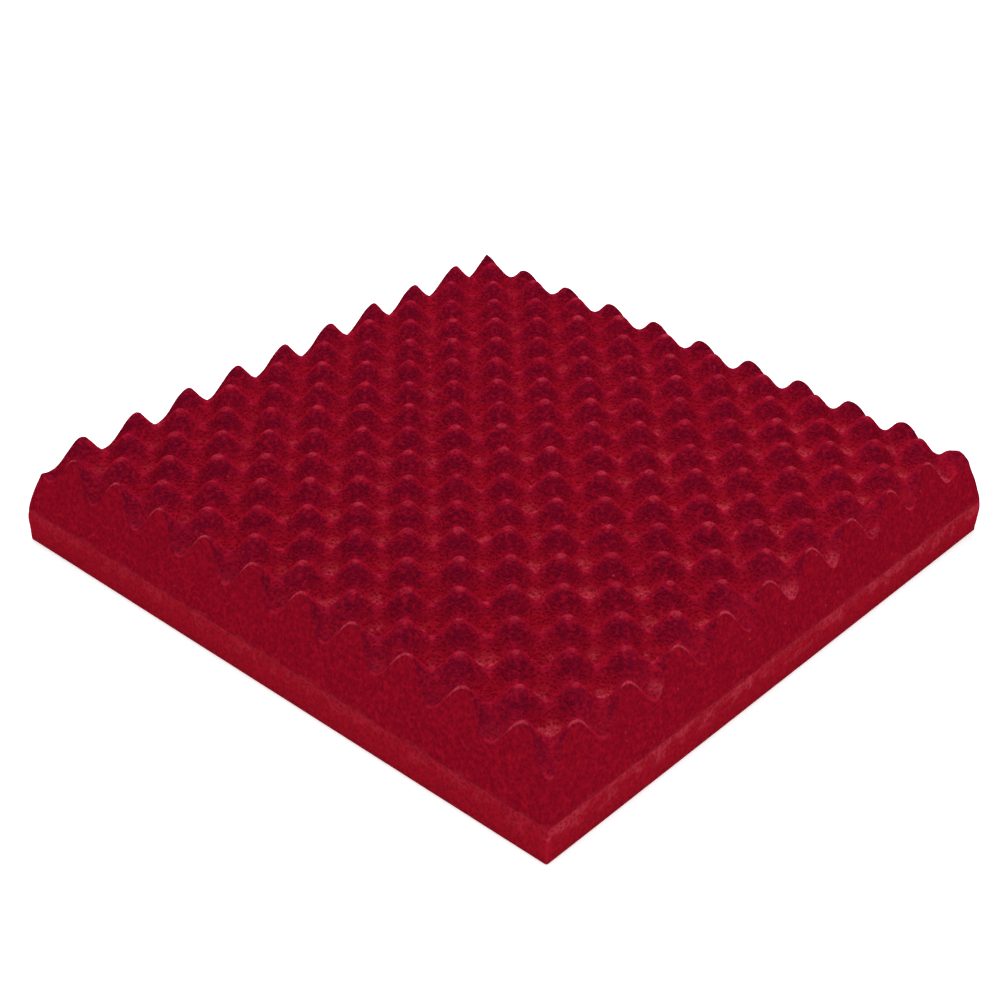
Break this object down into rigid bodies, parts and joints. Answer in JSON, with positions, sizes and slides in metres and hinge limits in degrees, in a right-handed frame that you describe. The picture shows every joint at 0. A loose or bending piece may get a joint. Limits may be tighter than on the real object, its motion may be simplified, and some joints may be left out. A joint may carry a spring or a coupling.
{
  "type": "acoustic foam panel",
  "caption": "Square sound-absorbing foam panel with an egg-crate relief, inward-leaning sides and a plain bonded base layer with a flat back.",
  "frame": {"origin": "centre of the flat back, which lies on the wall or on the table", "axes": "+Z out of the sound face, +X along the panel's front right edge in the picture, +Y along its front left edge"},
  "size_m": [0.5, 0.5, 0.08],
  "materials": {
    "face_foam": "matt open-cell polyurethane foam, dyed crimson, with a fine cut-cell grain",
    "base_foam": "matt open-cell polyurethane foam, dyed crimson, a little paler and coarser in the cut",
    "laminating_adhesive": "thin web of set hot-melt adhesive, pale, soaked with the foam's dye"
  },
  "bodies": {
    "root": {"foam_base_layer": "base_foam", "laminating_film": "laminating_adhesive", "convoluted_face_layer": "face_foam"}
  },
  "joints": []
}
